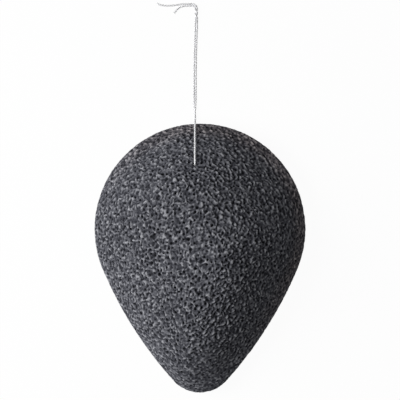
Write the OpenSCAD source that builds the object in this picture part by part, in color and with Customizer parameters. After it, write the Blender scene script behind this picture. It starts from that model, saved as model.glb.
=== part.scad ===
// Drop-shaped konjac face sponge, lying on its flat back, with its thread hanging loop laid out
// beyond the round top.
// Millimetres. Z is up, +Y points to the round top, and the origin is on the flat back below the crown.

/* [Sponge] */
// Length from the round top to the tip
sponge_length = 102; // [90:1:115]
// Width across the round head
sponge_width = 80; // [70:1:90]
// Thickness from the flat back to the crown
sponge_height = 32; // [24:1:38]
// Radius of the blunt tip
tip_r = 13.7; // [9:0.1:18]
// Radius of the gently bowed sides between the head and the tip
side_r = 154; // [120:1:260]
// Height of the widest line above the flat back
rim_height = 6.5; // [4:0.5:10]
// How far the edge of the back turns in below the rim
back_inset = 4.5; // [2:0.5:8]
// Fullness of the dome round its crown, where more is flatter there
dome_fullness = 2.35; // [2:0.05:3]
// How round the dome's shoulder is above the rim: 1 slopes straight into it and 2 is as round as an ellipse
dome_shoulder = 1.1; // [1:0.05:2]

/* [Thread way] */
// Thickness of the cotton thread
thread_d = 0.6; // [0.4:0.05:0.8]
// Free room round the thread where it goes through the foam
thread_room = 0.15; // [0.1:0.05:0.4]
// Distance from the round top to the hole
hole_depth = 15.9; // [12:0.1:22]
// Distance of the hole to the left of the centre line
hole_offset = 1.9; // [0:0.1:6]
// Radius that the thread turns through at each mouth of the hole
mouth_bend_r = 1.4; // [1.2:0.1:2.2]

/* [Knot] */
// Length over which the two ends are wound round each other
knot_length = 3.4; // [3:0.1:6]
// Turns that the two ends make round each other
knot_turns = 1; // [1:1:2]
// Gap between the two strands where they lie side by side
strand_gap = 0.05; // [0.05:0.05:0.2]

/* [Hidden] */

foam_colour = "#4b4c50";
thread_colour = "#e8e6e1";
overrun = 2;

// Arcs of the outline: the head and the tip are joined by two large arcs that touch both
head_r = sponge_width / 2;
head_y = sponge_length / 2 - head_r;
tip_y = tip_r - sponge_length / 2;
head_to_side = side_r - head_r;
tip_to_side = side_r - tip_r;
head_to_tip = head_y - tip_y;
side_rise = (pow(tip_to_side, 2) - pow(head_to_side, 2) - pow(head_to_tip, 2)) / (2 * head_to_tip);
side_x = sqrt(pow(head_to_side, 2) - pow(side_rise, 2));
side_y = head_y + side_rise;
head_lean = asin(side_rise / head_to_side);
tip_lean = asin((side_rise + head_to_tip) / tip_to_side);
head_steps = 28;
side_steps = 6;
tip_steps = 8;

// Levels of the loft, each a share of the outline at a height
crown_rise = sponge_height - rim_height;
back_share = (head_r - back_inset) / head_r;
under_steps = 5;
dome_steps = 16;

// Way of the thread through the foam
thread_r = thread_d / 2;
bore_r = thread_r + thread_room;
// Neighbouring cuts run this far into each other, so that no skin of foam is left between them
cut_lap = bore_r / 6;
bend_steps = 6;
// The way's front end rises off the dome by this angle, so that it runs out cleanly
lead_rise = 30;
way_sides = 12;
groove_steps = 6;
lay_gap = thread_r / 6;
strand_step = thread_d + strand_gap;
hole_x = -hole_offset;
hole_y = sponge_length / 2 - hole_depth;
bend_y = hole_y + mouth_bend_r;
mouth_slope = dome_slope([hole_x, bend_y]);
contact_y = bend_y + (mouth_bend_r - thread_r - lay_gap) * sin(mouth_slope);
front_bend_z = dome_z([hole_x, contact_y]) - (mouth_bend_r - thread_r - lay_gap) * cos(mouth_slope);
floor_z = thread_r + lay_gap;
back_bend_z = floor_z + mouth_bend_r;

// The thread held by the sponge: up from the floor over the dome, down through the foam and out
// along the back
held_route = [
  [-1.9, 53.2, 1], [-1.9, 52.4, 1.2], [-1.9, 51.8, 1.8], [-1.9, 51.5, 2.8], [-1.9, 51.4, 4.5],
  [-1.9, 51.4, 6.3], [-1.9, 51.15, 7.2], [-1.9, 50.5, 8.1], [-1.9, 49.6, 9.3], [-1.9, 48.8, 10.3],
  [-1.9, 47.5, 11.8],
  [-1.9, 46, 13.4], [-1.9, 44.5, 14.95], [-1.9, 43, 16.4], [-1.9, 41.5, 17.75], [-1.9, 40, 19],
  [-1.9, 38.8, 19.98], [-1.9, 37.8, 20.72], [-1.9, 37.2, 21.12], [-1.9, 36.5, 21.22], [-1.9, 35.8, 21.02],
  [-1.9, 35.3, 20.52], [-1.9, 35.1, 19.77],
  [-1.9, 35.1, 1.8],
  [-1.9, 35.3, 1.1], [-1.9, 35.8, 0.55], [-1.9, 36.5, 0.35], [-1.9, 42, 0.35], [-1.9, 47, 0.35],
  [-1.9, 53.2, 0.35]];
front_mouth_ring = 22;
back_mouth_ring = 23;

// The two free strands, which lie on each other at the rim and side by side farther on
front_strand_route = [
  [-1.9, 53.8, 1], [-1.95, 55.5, 0.95], [-1.85, 57, 0.85], [-1.75, 58.5, 0.6], [-1.65, 60.5, 0.35],
  [-1.6, 68, 0.35], [-1.55, 75, 0.35], [-1.35, 82, 0.35], [-1.15, 88, 0.35], [-1.1, 90.2, 0.5]];
back_strand_route = [
  [-1.9, 53.8, 0.35], [-2.15, 55.5, 0.35], [-2.3, 57, 0.35], [-2.35, 58.5, 0.35], [-2.35, 60.5, 0.35],
  [-2.3, 68, 0.35], [-2.25, 75, 0.35], [-2.05, 82, 0.35], [-1.85, 88, 0.35], [-1.75, 90.2, 0.5]];

// The knot is one twist of the two strands about this start, and the tails bend to the left behind it
knot_start = [-1.45, 91.4, 0.68];
knot_steps = 9;
long_tail_route = [
  [-1.3, 95.6, 0.65], [-1.75, 96.25, 0.55], [-2.6, 96.65, 0.4], [-4.5, 96.75, 0.35], [-7, 96.65, 0.35],
  [-9.5, 96.25, 0.35], [-12.2, 96.1, 0.35], [-14.6, 96.25, 0.35], [-15.7, 96.6, 0.35], [-16.4, 97.1, 0.35]];
short_tail_route = [
  [-1.95, 95.45, 0.65], [-2.35, 95.85, 0.55], [-3, 96, 0.4], [-4.5, 96.05, 0.35], [-6.1, 95.95, 0.35],
  [-7.4, 95.6, 0.35], [-8.4, 94.95, 0.35], [-9.2, 94.15, 0.35], [-9.9, 93.2, 0.35]];
thread_sides = 8;

function arc(centre, r, from, to, steps) =
  [for (i = [0 : steps - 1]) let (a = from + (to - from) * i / steps) centre + r * [cos(a), sin(a)]];

function drop_outline() = concat(
  arc([0, head_y], head_r, -head_lean, 180 + head_lean, head_steps),
  arc([side_x, side_y], side_r, 180 + head_lean, 180 + tip_lean, side_steps),
  arc([0, tip_y], tip_r, 180 + tip_lean, 360 - tip_lean, tip_steps),
  arc([-side_x, side_y], side_r, 360 - tip_lean, 360 - head_lean, side_steps));

// Distance from the crown's axis to the head's outline through a point
function reach(p) = let (d = p / norm(p), b = d[1] * head_y)
  b + sqrt(b * b - head_y * head_y + head_r * head_r);

// Height of the dome above the flat back, and how steeply it falls towards the round top
function dome_z(p) = let (fall = pow(norm(p) / reach(p), dome_fullness))
  rim_height + crown_rise * pow(1 - fall, 1 / dome_shoulder);
function dome_slope(p) = atan((dome_z(p - [0, thread_r]) - dome_z(p + [0, thread_r])) / thread_d);

function levels() = concat(
  [for (i = [0 : under_steps]) let (a = 90 * i / under_steps)
    [back_share + (1 - back_share) * sin(a), rim_height * (1 - cos(a))]],
  [for (i = [1 : dome_steps - 1]) let (a = 90 * i / dome_steps)
    [pow(cos(a), 2 / dome_fullness), rim_height + crown_rise * pow(sin(a), 2 / dome_shoulder)]]);

function unit(v) = v / norm(v);
function tangents(route) = let (last = len(route) - 1)
  [for (i = [0 : last]) unit(route[min(i + 1, last)] - route[max(i - 1, 0)])];
function square_to(v, t) = unit(v - t * (v * t));

// One side direction for each point of a route, carried along it without twist
function side_directions(t) =
  [for (i = 0, s = square_to([1, 0.3, 0.1], t[0]); i < len(t);
    i = i + 1, s = i < len(t) ? square_to(s, t[i]) : s) s];

function knot_points(half_turn) = [for (i = [0 : knot_steps])
  let (a = half_turn + 360 * knot_turns * i / knot_steps)
  knot_start + [strand_step / 2 * cos(a), knot_length * i / knot_steps, strand_step / 2 * sin(a)]];

front_route = concat(front_strand_route, knot_points(0), long_tail_route);
back_route = concat(back_strand_route, knot_points(180), short_tail_route);

// Tube along a route from one of its points to another, so that neighbours on a route share a ring
module tube(route, first, last, r, sides) {
  t = tangents(route);
  s = side_directions(t);
  rings = last - first;
  points = [for (i = [first : last], j = [0 : sides - 1]) let (a = 360 * j / sides)
    route[i] + r * (cos(a) * s[i] + sin(a) * cross(t[i], s[i]))];
  walls = [for (i = [0 : rings - 1], j = [0 : sides - 1])
    let (a = i * sides + j, b = i * sides + (j + 1) % sides)
    each [[a, b + sides, b], [a, a + sides, b + sides]]];
  start_cap = [for (j = [1 : sides - 2]) [0, j, j + 1]];
  end_cap = [for (j = [1 : sides - 2]) let (e = rings * sides) [e, e + j + 1, e + j]];
  polyhedron(points = points, faces = concat(walls, start_cap, end_cap));
}

module thread_tube(route, first, last) {
  color(thread_colour) tube(route, first, last, thread_r, thread_sides);
}

// Drop-shaped cushion: a flat back, an edge that turns in below the rim, and a plump dome
module sponge_form() {
  outline = drop_outline();
  rings = levels();
  n = len(outline);
  top = len(rings) - 1;
  apex = n * len(rings);
  points = concat([for (r = rings, p = outline) [r[0] * p[0], r[0] * p[1], r[1]]], [[0, 0, sponge_height]]);
  sides = [for (i = [0 : top - 1], j = [0 : n - 1])
    let (a = i * n + j, b = i * n + (j + 1) % n) each [[a, b + n, b], [a, a + n, b + n]]];
  crown = [for (j = [0 : n - 1]) [top * n + j, apex, top * n + (j + 1) % n]];
  back = [for (j = [1 : n - 2]) [0, j, j + 1]];
  polyhedron(points = points, faces = concat(sides, crown, back));
}

// Bend of the thread's way round a mouth, in the upright plane through the hole, between two straights.
// The straight that leads away points along the angle away.
function bend_point(z, a) = [hole_x, bend_y + mouth_bend_r * cos(a), z + mouth_bend_r * sin(a)];
function bend_route(z, from, to, away) = concat(
  [bend_point(z, from) - sign(to - from) * cut_lap * [0, -sin(from), cos(from)]],
  [for (i = [0 : bend_steps]) bend_point(z, from + (to - from) * i / bend_steps)],
  [bend_point(z, to) + mouth_bend_r * [0, cos(away), sin(away)]]);

// Hole through the foam, the bends at its two mouths and the groove that the thread presses into the back
module thread_way() {
  translate([hole_x, hole_y, back_bend_z - cut_lap / 2])
    cylinder(r = bore_r, h = front_bend_z - back_bend_z + cut_lap, $fn = 24);
  tube(bend_route(front_bend_z, 180, 90 - mouth_slope, lead_rise - mouth_slope), 0, bend_steps + 2,
    bore_r + cut_lap, way_sides);
  tube(bend_route(back_bend_z, 180, 270, -lead_rise), 0, bend_steps + 2, bore_r + cut_lap, way_sides);
  groove = concat([[-bore_r, -overrun]], arc([0, floor_z], bore_r, 180, 0, groove_steps),
    [[bore_r, floor_z], [bore_r, -overrun]]);
  translate([hole_x, sponge_length / 2 + overrun, 0]) rotate([90, 0, 0])
    linear_extrude(hole_depth + overrun - mouth_bend_r) polygon(groove);
}

module sponge_body() {
  color(foam_colour) difference() {
    sponge_form();
    thread_way();
  }
}

module thread_front_run() thread_tube(held_route, 0, front_mouth_ring);
module thread_channel_run() thread_tube(held_route, front_mouth_ring, back_mouth_ring);
module thread_back_run() thread_tube(held_route, back_mouth_ring, len(held_route) - 1);
module thread_front_strand() thread_tube(front_route, 0, len(front_strand_route));
module thread_back_strand() thread_tube(back_route, 0, len(back_strand_route));
module thread_knot() {
  thread_tube(front_route, len(front_strand_route), len(front_strand_route) + knot_steps);
  thread_tube(back_route, len(back_strand_route), len(back_strand_route) + knot_steps);
}
module thread_long_tail()
  thread_tube(front_route, len(front_strand_route) + knot_steps, len(front_route) - 1);
module thread_short_tail()
  thread_tube(back_route, len(back_strand_route) + knot_steps, len(back_route) - 1);

sponge_body();
thread_front_run();
thread_channel_run();
thread_back_run();
thread_front_strand();
thread_back_strand();
thread_knot();
thread_long_tail();
thread_short_tail();
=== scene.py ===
import math
import bpy
import bmesh
import numpy as np
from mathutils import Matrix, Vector
from mathutils.kdtree import KDTree


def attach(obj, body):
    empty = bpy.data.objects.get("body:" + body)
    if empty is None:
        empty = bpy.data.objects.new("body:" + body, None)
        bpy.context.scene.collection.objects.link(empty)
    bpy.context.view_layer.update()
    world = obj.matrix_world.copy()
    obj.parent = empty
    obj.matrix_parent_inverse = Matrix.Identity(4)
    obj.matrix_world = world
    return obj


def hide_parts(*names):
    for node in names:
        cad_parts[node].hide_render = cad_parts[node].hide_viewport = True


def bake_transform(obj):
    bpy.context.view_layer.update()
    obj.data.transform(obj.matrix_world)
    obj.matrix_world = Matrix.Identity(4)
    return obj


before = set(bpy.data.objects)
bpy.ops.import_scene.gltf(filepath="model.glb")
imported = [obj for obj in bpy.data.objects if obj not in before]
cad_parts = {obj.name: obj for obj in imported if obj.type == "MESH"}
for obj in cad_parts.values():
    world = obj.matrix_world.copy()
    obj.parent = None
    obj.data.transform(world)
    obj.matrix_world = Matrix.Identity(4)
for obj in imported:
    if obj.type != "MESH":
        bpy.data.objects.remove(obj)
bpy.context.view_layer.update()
print("frame loaded with", len(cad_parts), "nodes")

mm = 0.001  # every size below is in millimetres


def linearColour(hexText):
    # sRGB hex to the linear colour that the nodes take
    shares = [int(hexText[i:i + 2], 16) / 255 for i in (1, 3, 5)]
    return tuple(c / 12.92 if c <= 0.04045 else ((c + 0.055) / 1.055) ** 2.4 for c in shares) + (1.0,)


def addNode(tree, kind, values=None, links=None, **settings):
    # one node with its settings, its socket values and the sockets that feed it
    node = tree.nodes.new(kind)
    for name, value in settings.items():
        setattr(node, name, value)
    for socket, value in (values or {}).items():
        node.inputs[socket].default_value = value
    for socket, source in (links or {}).items():
        tree.links.new(source, node.inputs[socket])
    return node


def emptyMaterial(name):
    material = bpy.data.materials.new(name)
    material.use_nodes = True
    material.node_tree.nodes.clear()
    return material, material.node_tree


def finishMaterial(tree, shader):
    addNode(tree, "ShaderNodeOutputMaterial", links={"Surface": shader})


def setRamp(node, stops):
    ramp = node.color_ramp
    while len(ramp.elements) < len(stops):
        ramp.elements.new(1.0)
    for element, (place, colour) in zip(ramp.elements, stops):
        element.position = place
        element.color = linearColour(colour)


def newObject(name, mesh):
    made = bpy.data.objects.new(name, mesh)
    bpy.context.scene.collection.objects.link(made)
    return made


# camera, straight above the sponge, with a long lens as in a product shot
cameraView = {
    "centre": (0.0, 22.0),
    "rimHeight": 6.5,  # the frame's width is measured at this height
    "frameWidth": 151.44,
    "lens": 200.0,
    "sensor": 36.0,
    "clipEnd": 10000.0,
}


def makeCamera(s):
    data = bpy.data.cameras.new("camera")
    data.lens = s["lens"]
    data.sensor_width = s["sensor"]
    data.clip_end = s["clipEnd"] * mm
    camera = bpy.data.objects.new("camera", data)
    distance = s["frameWidth"] * s["lens"] / s["sensor"]
    camera.location = Vector((*s["centre"], s["rimHeight"] + distance)) * mm
    bpy.context.scene.collection.objects.link(camera)
    bpy.context.scene.camera = camera
    print("camera stands", round(distance), "mm above the rim")


makeCamera(cameraView)


# thread: one length of cotton in two halves that meet in the middle of the foam
thread = {
    "diameter": 0.6,
    "loose": 0.04,  # the plies stand this far proud of the solid, as soft cotton does
    "holeX": -1.9,
    "plies": 3,
    "plyTwist": 3.0,  # length of one turn of the plies
    "pressed": 1.25,  # soft plies press into each other, which leaves shallow furrows
    "step": 0.3,
    "knotStart": (-1.45, 91.4, 0.68),
    "knotLength": 3.4,
    "knotOffset": 0.325,
    "knotSteps": 27,
    "frayLength": 2.2,
    "fraySpread": 0.34,
    "frayThin": 0.45,  # share of its width that each ply loses towards the frayed end
    # the fibres are drawn thicker than real ones, which are too fine to show
    "fuzz": {"every": 0.12, "reach": (0.04, 0.17), "length": (0.3, 0.8), "radius": 0.015},
    "strays": {"every": 2.2, "reach": (0.25, 0.7), "length": (-1.0, 1.0), "radius": 0.02},
    "fibreRoot": 0.85,  # a fibre leaves the thread at this share of its radius
    "fibreTip": 0.4,  # and ends with this share of its own
    "fibreSteps": 5,
    "tableGap": 0.02,
    "bendFrom": 52.4,
    "bendTo": 56.4,
    "bendHeight": 0.7,
    "frontSeed": 11,
    "backSeed": 12,
}
# places as (y, z) in the upright plane through the hole where the foam holds the thread
overDome = [
    (53.2, 1), (52.4, 1.2), (51.8, 1.8), (51.5, 2.8), (51.4, 4.5), (51.4, 6.3), (51.15, 7.2), (50.5, 8.1),
    (49.6, 9.3), (48.8, 10.3), (47.5, 11.8), (46, 13.4), (44.5, 14.95), (43, 16.4), (41.5, 17.75), (40, 19),
    (38.8, 19.98), (37.8, 20.72), (37.2, 21.12), (36.5, 21.22), (35.8, 21.02), (35.3, 20.52), (35.1, 19.77)]
midChannel = (35.1, 10.3)
alongBack = [(35.1, 1.8), (35.3, 1.1), (35.8, 0.55), (36.5, 0.35), (42, 0.35), (47, 0.35), (53.2, 0.35)]
frontMouth = overDome[-4]
backMouth = alongBack[3]
# places as (x, y, z) where the thread lies free on the table
frontStrand = [
    (-1.9, 53.8, 1), (-1.95, 55.5, 0.95), (-1.85, 57, 0.85), (-1.75, 58.5, 0.6), (-1.65, 60.5, 0.35),
    (-1.6, 68, 0.35), (-1.55, 75, 0.35), (-1.35, 82, 0.35), (-1.15, 88, 0.35), (-1.1, 90.2, 0.5)]
backStrand = [
    (-1.9, 53.8, 0.35), (-2.15, 55.5, 0.35), (-2.3, 57, 0.35), (-2.35, 58.5, 0.35), (-2.35, 60.5, 0.35),
    (-2.3, 68, 0.35), (-2.25, 75, 0.35), (-2.05, 82, 0.35), (-1.85, 88, 0.35), (-1.75, 90.2, 0.5)]
longTail = [
    (-1.3, 95.6, 0.65), (-1.75, 96.25, 0.55), (-2.6, 96.65, 0.4), (-4.5, 96.75, 0.35), (-7, 96.65, 0.35),
    (-9.5, 96.25, 0.35), (-12.2, 96.1, 0.35), (-14.6, 96.25, 0.35), (-15.7, 96.6, 0.35), (-16.4, 97.1, 0.35)]
shortTail = [
    (-1.95, 95.45, 0.65), (-2.35, 95.85, 0.55), (-3, 96, 0.4), (-4.5, 96.05, 0.35), (-6.1, 95.95, 0.35),
    (-7.4, 95.6, 0.35), (-8.4, 94.95, 0.35), (-9.2, 94.15, 0.35), (-9.9, 93.2, 0.35)]


def knotWinding(s, halfTurn):
    # one turn of an end round the other end
    x, y, z = s["knotStart"]
    places = []
    for i in range(s["knotSteps"] + 1):
        share = i / s["knotSteps"]
        a = halfTurn + 2 * math.pi * share
        places.append((x + s["knotOffset"] * math.cos(a), y + s["knotLength"] * share,
                       z + s["knotOffset"] * math.sin(a)))
    return places


def smoothLine(places, step, between=12):
    # smooth curve through the places, then points an even step apart on it
    p = np.array(places, float)
    p = np.vstack([2 * p[0] - p[1], p, 2 * p[-1] - p[-2]])
    t = np.linspace(0, 1, between, endpoint=False)[:, None]
    run = []
    for i in range(1, len(p) - 2):
        a, b, c, d = p[i - 1], p[i], p[i + 1], p[i + 2]
        run.append(0.5 * (2 * b + (c - a) * t + (2 * a - 5 * b + 4 * c - d) * t ** 2
                          + (3 * b - a - 3 * c + d) * t ** 3))
    run = np.vstack(run + [p[-2:-1]])
    gone = np.concatenate([[0], np.cumsum(np.linalg.norm(np.diff(run, axis=0), axis=1))])
    even = np.linspace(0, gone[-1], int(gone[-1] / step) + 1)
    return np.stack([np.interp(even, gone, run[:, k]) for k in range(3)], axis=1), gone[-1]


def sideFrames(line):
    # two side directions at each point, carried along without twist
    along = np.gradient(line, axis=0)
    along /= np.linalg.norm(along, axis=1)[:, None]
    side = np.cross(along[0], (1.0, 0.3, 0.1))  # any direction that the thread doesn't start in
    sides = []
    for t in along:
        side = side - t * side.dot(t)
        side /= np.linalg.norm(side)
        sides.append(side)
    sides = np.array(sides)
    return sides, np.cross(along, sides)


def tubeMesh(lines, radii, resolution):
    # round tubes along lines, as one mesh
    curve = bpy.data.curves.new("strands", "CURVE")
    curve.dimensions = "3D"
    curve.bevel_depth = 1.0
    curve.bevel_resolution = resolution
    curve.use_fill_caps = True
    for line, radius in zip(lines, radii):
        spline = curve.splines.new("POLY")
        spline.points.add(len(line) - 1)
        spline.points.foreach_set("co", np.column_stack([line * mm, np.ones(len(line))]).ravel())
        spline.points.foreach_set("radius", np.asarray(radius) * mm)
    carrier = newObject("strands", curve)
    bpy.context.view_layer.update()
    mesh = bpy.data.meshes.new_from_object(carrier.evaluated_get(bpy.context.evaluated_depsgraph_get()))
    bpy.data.objects.remove(carrier)
    bpy.data.curves.remove(curve)
    return mesh


def twistedPlies(s, line, length, sides, outerR, draw):
    # plies wound round each other, which part and thin out at the frayed end
    gone = np.linspace(0, length, len(line))
    plyR = outerR / (1 + 1 / math.sin(math.pi / s["plies"]))  # plies that just touch inside the thread
    fray = np.clip((gone - length + s["frayLength"]) / s["frayLength"], 0, 1) ** 2
    plies, radii = [], []
    for k in range(s["plies"]):
        a = 2 * math.pi * (k / s["plies"] + gone / s["plyTwist"])
        reach = outerR - s["pressed"] * plyR + fray * s["fraySpread"] * draw.uniform(0.5, 1)
        plies.append(line + (np.cos(a) * reach)[:, None] * sides[0] + (np.sin(a) * reach)[:, None] * sides[1])
        radii.append(plyR * s["pressed"] * (1 - s["frayThin"] * fray))
    return tubeMesh(plies, radii, 2)


def looseFibres(s, line, length, sides, outerR, draw):
    # fuzz that bows out and back in, and a few strays that stand off
    t = np.linspace(0, 1, s["fibreSteps"])[:, None]
    fibres, radii = [], []
    for kind, rise in ((s["fuzz"], np.sin(math.pi * t)), (s["strays"], t * (1 - 0.4 * t))):
        for at in np.arange(kind["every"], length, kind["every"]):
            i = int(at / length * (len(line) - 1))
            a = draw.uniform(0, 2 * math.pi)
            out = math.cos(a) * sides[0][i] + math.sin(a) * sides[1][i]
            lean = line[min(i + 1, len(line) - 1)] - line[max(i - 1, 0)]
            lean /= np.linalg.norm(lean)
            fibres.append(line[i] + out * (outerR * s["fibreRoot"] + draw.uniform(*kind["reach"]) * rise)
                          + lean * draw.uniform(*kind["length"]) * t)
            radii.append(np.linspace(kind["radius"], s["fibreTip"] * kind["radius"], s["fibreSteps"]))
    return tubeMesh(fibres, radii, 0)


def makeThread(name, places, s, seed):
    draw = np.random.default_rng(seed)
    line, length = smoothLine(places, s["step"])
    sides = sideFrames(line)
    outerR = s["diameter"] / 2 + s["loose"]
    bm = bmesh.new()
    for makeStrands in (twistedPlies, looseFibres):
        strands = makeStrands(s, line, length, sides, outerR, draw)
        bm.from_mesh(strands)
        bpy.data.meshes.remove(strands)
    for v in bm.verts:  # the lowest fibres lie on the table
        v.co.z = max(v.co.z, s["tableGap"] * mm)
    mesh = bpy.data.meshes.new(name)
    bm.to_mesh(mesh)
    bm.free()
    mesh.shade_smooth()
    made = newObject(name, mesh)
    print(name, "is", round(length, 1), "mm long")
    return made, line, length


def heldPlaces(s, run):
    return [(s["holeX"], y, z) for y, z in run]


frontThread, frontLine, frontLength = makeThread(
    "thread_front", heldPlaces(thread, [midChannel] + overDome[::-1]) + frontStrand
    + knotWinding(thread, 0) + longTail, thread, thread["frontSeed"])
backThread, backLine, backLength = makeThread(
    "thread_back", heldPlaces(thread, [midChannel] + alongBack) + backStrand
    + knotWinding(thread, math.pi) + shortTail, thread, thread["backSeed"])
for piece, line, length, mouth, nodes in (
        (frontThread, frontLine, frontLength, frontMouth,
         ["thread_front_run", "thread_channel_run", "thread_front_strand", "thread_knot",
          "thread_long_tail"]),
        (backThread, backLine, backLength, backMouth,
         ["thread_back_run", "thread_back_strand", "thread_short_tail"])):
    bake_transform(piece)
    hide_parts(*nodes)
print("thread laid in its two halves")


# sponge: the drop form of the model, with the rises, pores and grain of its foam
sponge = {
    "length": 102.0,
    "width": 80.0,
    "height": 32.0,
    "tipR": 13.7,
    "sideR": 154.0,
    "rimHeight": 6.5,
    "backInset": 4.5,
    "fullness": 2.35,
    "shoulder": 1.1,
    "cuts": 223,
    # broad rises and hollows that the foam dried with, as (x, y, size, rise)
    "swells": [(-18, 3, 11, -2.5), (9, -3, 8, 3.5), (-2, 28, 12, 1.5), (25, 35, 14, -3), (7, -40, 10, -2.5),
               (-22, -42, 12, 3.5)],
    "swellFade": 8.0,  # they fade out over this height above the rim
    "threadHold": {"width": 3.5, "from": 30.0, "to": 36.0, "share": 0.8},
    # the skin is this much smoother within these bands of the rim, the slope and the tip
    "rimBand": 3.5,
    "rimSmooth": 0.8,
    "slopeBand": 20.0,
    "slopeSmooth": 0.3,
    "tipBand": 30.0,
    "tipSmooth": 0.8,
    # pores and grain are drawn a little coarser than real ones, so that they show
    "pores": {"apart": 1.5, "tries": 60000, "radius": 0.7, "spread": 0.4, "deepest": 1.6, "shallowest": 0.15,
              "fewDeep": 1.5, "floor": 0.2, "seed": 3},
    "grain": {"height": 0.8, "level": 0.62, "swing": 0.4, "length": 1.65, "spread": 0.5, "waves": 200,
              "seed": 41, "warp": 0.3, "warpLength": 2.6, "warpSeed": 20},
    "patches": {"height": 0.1, "length": 3.8, "seed": 47},
    "unevenness": {"height": 0.25, "length": 14.0, "seed": 30},
    "groove": {"clearance": 0.25, "below": 2.0},
    "mouth": {"reach": 0.95, "depth": 2.2, "offset": 0.1},
    "brownRim": {"band": (1.5, 6.5), "turn": (-0.5, 0.9), "towards": (0.77, 0.64)},
}


def smoothStep(low, high, values):
    t = np.clip((values - low) / (high - low), 0, 1)
    return t * t * (3 - 2 * t)


def outlineReach(s, direction):
    # distance from the origin to the drop's outline, along unit directions
    headR = s["width"] / 2
    headY = s["length"] / 2 - headR
    tipY = s["tipR"] - s["length"] / 2
    headToSide = s["sideR"] - headR
    tipToSide = s["sideR"] - s["tipR"]
    rise = (tipToSide ** 2 - headToSide ** 2 - (headY - tipY) ** 2) / (2 * (headY - tipY))
    sideX = -math.sqrt(headToSide ** 2 - rise ** 2)
    sideY = headY + rise
    headLean = math.asin(rise / headToSide)
    tipLean = math.asin((sideY - tipY) / tipToSide)
    x, y = np.abs(direction[:, 0]), direction[:, 1]

    def reach(cx, cy, r):
        b = x * cx + y * cy
        return b + np.sqrt(np.maximum(b * b - cx * cx - cy * cy + r * r, 0))

    def bearing(cy, r, lean):
        return math.atan2(cy - r * math.sin(lean), r * math.cos(lean))

    angle = np.arctan2(y, x)
    return np.where(angle > bearing(headY, headR, headLean), reach(0, headY, headR),
                    np.where(angle > bearing(tipY, s["tipR"], tipLean), reach(sideX, sideY, s["sideR"]),
                             reach(0, tipY, s["tipR"])))


def profile(s, steps=400):
    # shares of the outline and heights, from the crown over the rim to the middle of the back
    a = np.linspace(math.pi / 2, 0, steps)
    backShare = 1 - s["backInset"] / (s["width"] / 2)
    domeShare = np.cos(a).clip(0) ** (2 / s["fullness"])
    domeHeight = s["rimHeight"] + (s["height"] - s["rimHeight"]) * np.sin(a).clip(0) ** (2 / s["shoulder"])
    rimShare = backShare + (1 - backShare) * np.sin(a[1:])
    rimHeight = s["rimHeight"] * (1 - np.cos(a[1:]))
    flatShare = np.linspace(backShare, 0, steps // 2)[1:]
    share = np.concatenate([domeShare, rimShare, flatShare])
    height = np.concatenate([domeHeight, rimHeight, np.zeros(len(flatShare))])
    size = (s["length"] + s["width"]) / 4
    gone = np.concatenate([[0], np.cumsum(np.hypot(np.diff(share) * size, np.diff(height)))])
    return share, height, gone / gone[-1]


def waves(points, waveLength, seed, count=14, spread=0.35, normals=None):
    # smooth uneven field between about -1 and 1; with normals, only waves that run along the skin
    draw = np.random.default_rng(seed)
    directions = draw.normal(size=(count, 3))
    directions /= np.linalg.norm(directions, axis=1)[:, None]
    pace = 2 * math.pi / waveLength * draw.uniform(1 - spread, 1 + spread, count)
    field = np.cos(points @ (directions * pace[:, None]).T + draw.uniform(0, 2 * math.pi, count))
    if normals is None:
        return field.sum(axis=1) / math.sqrt(count)
    weights = (1 - (normals @ directions.T) ** 2) ** 3
    return (field * weights).sum(axis=1) / np.sqrt((weights ** 2).sum(axis=1))


def scatterPores(points, s):
    # middles of the open bubbles, scattered over the skin with no two closer than they can be
    draw = np.random.default_rng(s["seed"])
    tried = points[draw.choice(len(points), s["tries"], replace=False)]
    cells = np.floor(tried / s["apart"]).astype(int).tolist()
    around = [(i, j, k) for i in (-1, 0, 1) for j in (-1, 0, 1) for k in (-1, 0, 1)]
    taken, middles = {}, []
    for (x, y, z), (cx, cy, cz) in zip(tried.tolist(), cells):
        near = [q for i, j, k in around for q in taken.get((cx + i, cy + j, cz + k), ())]
        if all((x - q[0]) ** 2 + (y - q[1]) ** 2 + (z - q[2]) ** 2 >= s["apart"] ** 2 for q in near):
            taken.setdefault((cx, cy, cz), []).append((x, y, z))
            middles.append((x, y, z))
    print("foam has", len(middles), "open pores")
    return middles


def poreDepth(points, s):
    # open bubbles of uneven size, each a round pit, and only a few of them deep
    middles = scatterPores(points, s)
    narrow, deep = np.random.default_rng(s["seed"] + 1).random((2, len(middles)))
    tree = KDTree(len(middles))
    for i, middle in enumerate(middles):
        tree.insert(middle, i)
    tree.balance()
    found = [tree.find(p)[1:] for p in points.tolist()]
    near = np.array([f[1] for f in found])
    which = [f[0] for f in found]
    radius = s["radius"] * (1 - s["spread"] * narrow[which])
    depth = s["deepest"] * (s["shallowest"] + (1 - s["shallowest"]) * deep[which] ** s["fewDeep"])
    return depth * (1 - smoothStep(s["floor"], 1.0, near / radius))


def swelling(s, t, points):
    # height that the swells add, and only a little of it where the thread holds the foam down
    rise = sum(up * np.exp(-((points[:, 0] - x) ** 2 + (points[:, 1] - y) ** 2) / (2 * size ** 2))
               for x, y, size, up in s["swells"])
    rise *= smoothStep(0.0, s["swellFade"], points[:, 2] - s["rimHeight"])
    hold = s["threadHold"]
    held = np.exp(-((points[:, 0] - t["holeX"]) / hold["width"]) ** 2)
    held *= smoothStep(hold["from"], hold["to"], points[:, 1])
    return rise * (1 - hold["share"] * held)


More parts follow.
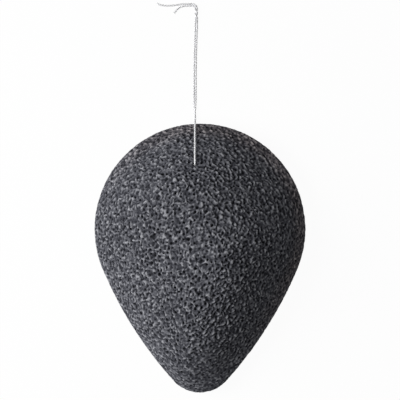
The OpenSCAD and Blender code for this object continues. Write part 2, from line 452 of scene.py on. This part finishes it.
def smoothSkin(s, points, inset):
    # share of the depth of pores and grain that is missing, which is most of it at the rim and the tip
    rim = s["rimSmooth"] * (1 - smoothStep(0.0, s["rimBand"], inset))
    slope = s["slopeSmooth"] * (1 - smoothStep(0.0, s["slopeBand"], inset))
    tip = s["tipSmooth"] * (1 - smoothStep(0.0, s["tipBand"], points[:, 1] + s["length"] / 2))
    return np.maximum(np.maximum(rim, slope), tip)


def grainAndPores(s, points, normals):
    # how far the skin lies below the drop form, and the most that it can
    grain = s["grain"]
    warps = [waves(points, grain["warpLength"], grain["warpSeed"] + k) for k in range(3)]
    warped = points + grain["warp"] * np.column_stack(warps)
    ridges = waves(warped, grain["length"], grain["seed"], grain["waves"], grain["spread"], normals)
    patches = s["patches"]
    sink = grain["height"] * (grain["level"] - grain["swing"] * ridges).clip(0)
    sink = sink + poreDepth(points, s["pores"])
    sink = np.maximum(sink + patches["height"] * waves(points, patches["length"], patches["seed"]), 0)
    deepest = grain["height"] + s["pores"]["deepest"]
    return deepest * np.tanh(sink / deepest), deepest


def makeRoomForThread(s, t, points):
    # groove that the thread lies in along the back, and a dent at the front mouth of the hole
    grooveR = t["diameter"] / 2 + s["groove"]["clearance"]
    across = np.abs(points[:, 0] - t["holeX"])
    under = (points[:, 2] < s["groove"]["below"]) & (points[:, 1] > alongBack[0][0] - grooveR)
    roof = backMouth[1] + np.sqrt(np.maximum(grooveR ** 2 - across ** 2, 0))
    points[:, 2] = np.where(under & (across < grooveR), np.maximum(points[:, 2], roof), points[:, 2])
    mouth = s["mouth"]
    toMouth = np.hypot(points[:, 0] - t["holeX"], points[:, 1] - overDome[-1][0] - mouth["offset"])
    dent = np.clip(1 - toMouth / mouth["reach"], 0, 1)
    points[:, 2] -= np.where(points[:, 2] > s["rimHeight"], mouth["depth"] * dent, 0)


def ballMesh(name, cuts):
    # closed mesh with even faces, and the direction of each vertex from the middle
    bm = bmesh.new()
    bmesh.ops.create_cube(bm, size=2)
    bmesh.ops.subdivide_edges(bm, edges=bm.edges[:], cuts=cuts, use_grid_fill=True)
    mesh = bpy.data.meshes.new(name)
    bm.to_mesh(mesh)
    bm.free()
    co = np.empty(len(mesh.vertices) * 3, np.float32)
    mesh.vertices.foreach_get("co", co)
    ball = np.tan(co.reshape(-1, 3).astype(float) * math.pi / 4)
    ball /= np.linalg.norm(ball, axis=1)[:, None]
    return mesh, ball


def setPoints(mesh, points):
    mesh.vertices.foreach_set("co", (points * mm).astype(np.float32).ravel())
    mesh.update()


def makeSponge(s, t):
    mesh, ball = ballMesh("sponge_foam", s["cuts"])
    share, height, gone = profile(s)
    turn = np.arccos(ball[:, 2].clip(-1, 1)) / math.pi
    flat = ball[:, :2] / np.maximum(np.linalg.norm(ball[:, :2], axis=1), 1e-9)[:, None]
    reach = outlineReach(s, flat)
    around = np.interp(turn, gone, share) * reach
    points = np.column_stack([flat * around[:, None], np.interp(turn, gone, height)])
    inset = reach - around
    smoother = smoothSkin(s, points, inset)
    points[:, 2] += swelling(s, t, points)
    setPoints(mesh, points)
    normals = np.empty(len(mesh.vertices) * 3, np.float32)
    mesh.vertex_normals.foreach_get("vector", normals)
    normals = normals.reshape(-1, 3).astype(float)

    sink, deepest = grainAndPores(s, points, normals)
    bumps = s["unevenness"]
    uneven = bumps["height"] * (0.5 + 0.5 * waves(points, bumps["length"], bumps["seed"])).clip(0, 1)
    points -= normals * ((sink + uneven) * (1 - smoother))[:, None]
    makeRoomForThread(s, t, points)
    setPoints(mesh, points)

    brown = s["brownRim"]
    browned = ((1 - smoothStep(*brown["band"], inset))
               * smoothStep(*brown["turn"], flat @ np.array(brown["towards"])))
    # the pore depth also sets the foam's colour, which paints shade into the pits
    for name, values in (("poreDepth", sink / deepest), ("brownRim", browned)):
        attribute = mesh.attributes.new(name, "FLOAT", "POINT")
        attribute.data.foreach_set("value", values.astype(np.float32))
    mesh.shade_smooth()
    mesh.update()
    print("sponge foam has", len(mesh.polygons), "faces")
    return newObject("sponge_foam", mesh)


spongeFoam = makeSponge(sponge, thread)
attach(spongeFoam, "sponge")
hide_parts("sponge_body")


# materials
def charcoalKonjacFoam():
    # konjac starch foam with bamboo charcoal, frozen and dried: dull, its colour set by pore depth, pale on
    # the
    # ridge tops and near black in the pores: the foam's own tone, with painted highlight on the ridge tops
    # and painted shade in the pores, and a trace of brown along one side of the rim
    speckWidth = 0.9 * mm
    speckShare = 0.5  # the specks move the colour this far along the ramp, about the pores' place on it
    wallWidth = 0.45 * mm
    wallHeight = 0.12 * mm
    brownTint = (1.1, 0.99, 0.93, 1.0)
    factor, colourA, colourB, colourOut = 0, 6, 7, 2  # a Mix node's sockets for colours, which share names
    material, tree = emptyMaterial("charcoal_konjac_foam")
    place = addNode(tree, "ShaderNodeTexCoord").outputs["Object"]
    pore = addNode(tree, "ShaderNodeAttribute", attribute_name="poreDepth").outputs["Fac"]
    specks = addNode(tree, "ShaderNodeTexNoise", links={"Vector": place},
                     values={"Scale": 1 / speckWidth, "Detail": 3.0, "Roughness": 0.6})
    mixed = addNode(tree, "ShaderNodeMath", operation="MULTIPLY_ADD", values={1: speckShare},
                    links={0: specks.outputs["Fac"], 2: pore})
    shifted = addNode(tree, "ShaderNodeMath", operation="SUBTRACT", values={1: speckShare / 2},
                      links={0: mixed.outputs[0]})
    ramp = addNode(tree, "ShaderNodeValToRGB", links={"Fac": shifted.outputs[0]})
    # from pale ridge tops, partly painted highlight, to near-black pits, partly painted shade; the dark stops
    # lean blue as painted cool shade
    setRamp(ramp, [(0.0, "#a1a2a7"), (0.12, "#6f7076"), (0.26, "#43444b"), (0.42, "#1b1c22"),
                   (0.6, "#040509")])
    brown = addNode(tree, "ShaderNodeAttribute", attribute_name="brownRim").outputs["Fac"]
    dyed = addNode(tree, "ShaderNodeMix", data_type="RGBA", blend_type="MULTIPLY",
                   values={colourB: brownTint}, links={factor: brown, colourA: ramp.outputs["Color"]})
    walls = addNode(tree, "ShaderNodeTexNoise", values={"Scale": 1 / wallWidth, "Detail": 2.0},
                    links={"Vector": place})
    bump = addNode(tree, "ShaderNodeBump", values={"Strength": 0.6, "Distance": wallHeight},
                   links={"Height": walls.outputs["Fac"]})
    shader = addNode(tree, "ShaderNodeBsdfPrincipled",
                     values={"Roughness": 0.9, "Specular IOR Level": 0.25, "Diffuse Roughness": 0.6},
                     links={"Base Color": dyed.outputs[colourOut], "Normal": bump.outputs["Normal"]})
    finishMaterial(tree, shader.outputs[0])
    return material


def spunCotton():
    # white sewing cotton, spun from short fibres: soft and matt, a little grey between the fibres as painted
    # shade where the bump lies low, and light gets through it
    fibreWidth = 0.25 * mm  # drawn coarser than real fibres, which are too fine to show
    fibreHeight = 0.04 * mm
    lightDepth = 0.4 * mm
    material, tree = emptyMaterial("spun_cotton")
    place = addNode(tree, "ShaderNodeTexCoord").outputs["Object"]
    fibre = addNode(tree, "ShaderNodeTexNoise", values={"Scale": 1 / fibreWidth, "Detail": 3.0},
                    links={"Vector": place})
    ramp = addNode(tree, "ShaderNodeValToRGB", links={"Fac": fibre.outputs["Fac"]})
    # the darker stop falls where the bump lies low: painted shade between the fibres
    setRamp(ramp, [(0.3, "#efeff2"), (0.7, "#f8f8fb")])
    bump = addNode(tree, "ShaderNodeBump", values={"Strength": 0.3, "Distance": fibreHeight},
                   links={"Height": fibre.outputs["Fac"]})
    shader = addNode(tree, "ShaderNodeBsdfPrincipled",
                     values={"Roughness": 0.85, "Specular IOR Level": 0.3, "Sheen Weight": 0.15,
                             "Subsurface Weight": 0.7, "Subsurface Scale": lightDepth,
                             "Subsurface Radius": (1.0, 1.0, 1.0)},
                     links={"Base Color": ramp.outputs["Color"], "Normal": bump.outputs["Normal"]})
    finishMaterial(tree, shader.outputs[0])
    return material


def seenDirectly(tree):
    # 1 for the rays that see the background itself, and 0 for those that light the object
    path = addNode(tree, "ShaderNodeLightPath")
    either = addNode(tree, "ShaderNodeMath", operation="MAXIMUM",
                     links={0: path.outputs["Is Camera Ray"], 1: path.outputs["Is Glossy Ray"]})
    return addNode(tree, "ShaderNodeMath", operation="MAXIMUM",
                   links={0: either.outputs[0], 1: path.outputs["Is Transmission Ray"]}).outputs[0]


def paperSweep():
    # matt white paper: the camera sees it white, with only a trace of the shadow
    whiteShare = 0.96
    material, tree = emptyMaterial("paper_sweep")
    paper = addNode(tree, "ShaderNodeBsdfDiffuse", values={"Color": linearColour("#f0f0f0")})
    white = addNode(tree, "ShaderNodeEmission", values={"Color": (1, 1, 1, 1), "Strength": 1.0})
    share = addNode(tree, "ShaderNodeMath", operation="MULTIPLY", values={1: whiteShare},
                    links={0: seenDirectly(tree)})
    mixed = addNode(tree, "ShaderNodeMixShader",
                    links={0: share.outputs[0], 1: paper.outputs[0], 2: white.outputs[0]})
    finishMaterial(tree, mixed.outputs[0])
    return material


spongeFoam.data.materials.append(charcoalKonjacFoam())
cotton = spunCotton()
for piece in (frontThread, backThread):
    piece.data.materials.append(cotton)
print("materials set")


# floor and light: one large soft lamp on the left, and two weak ones that open the shadows
studio = {
    "floorSize": 1600.0,
    "ambient": 0.045,
    "key": {"from": (-454.0, 24.0, 391.0), "size": 420.0, "level": 1.25},
    "fill": {"from": (150.0, 260.0, 520.0), "size": 400.0, "level": 0.06},
    "card": {"from": (500.0, 200.0, 70.0), "size": 300.0, "level": 0.07},
}


def makeFloor(s):
    bm = bmesh.new()
    bmesh.ops.create_grid(bm, x_segments=1, y_segments=1, size=s["floorSize"] / 2 * mm)
    mesh = bpy.data.meshes.new("floor")
    bm.to_mesh(mesh)
    bm.free()
    mesh.materials.append(paperSweep())
    newObject("floor", mesh)


def makeWorld(s):
    world = bpy.data.worlds.new("studio")
    world.use_nodes = True
    tree = world.node_tree
    tree.nodes.clear()
    around = addNode(tree, "ShaderNodeBackground", values={"Color": (1, 1, 1, 1), "Strength": s["ambient"]})
    white = addNode(tree, "ShaderNodeBackground", values={"Color": (1, 1, 1, 1), "Strength": 1.0})
    mixed = addNode(tree, "ShaderNodeMixShader",
                    links={0: seenDirectly(tree), 1: around.outputs[0], 2: white.outputs[0]})
    addNode(tree, "ShaderNodeOutputWorld", links={"Surface": mixed.outputs[0]})
    bpy.context.scene.world = world


def makeLamp(name, s):
    data = bpy.data.lights.new(name, "AREA")
    data.shape = "DISK"
    data.size = s["size"] * mm
    place = Vector(s["from"]) * mm
    # level 1 lights a white surface that faces the lamp just to white
    data.energy = s["level"] * math.pi ** 2 * place.length ** 2
    lamp = bpy.data.objects.new(name, data)
    lamp.location = place
    lamp.rotation_euler = place.to_track_quat("Z", "Y").to_euler()
    bpy.context.scene.collection.objects.link(lamp)


makeFloor(studio)
makeWorld(studio)
for name in ("key", "fill", "card"):
    makeLamp(name, studio[name])
bpy.context.scene.view_settings.view_transform = "Standard"
print("studio lit")
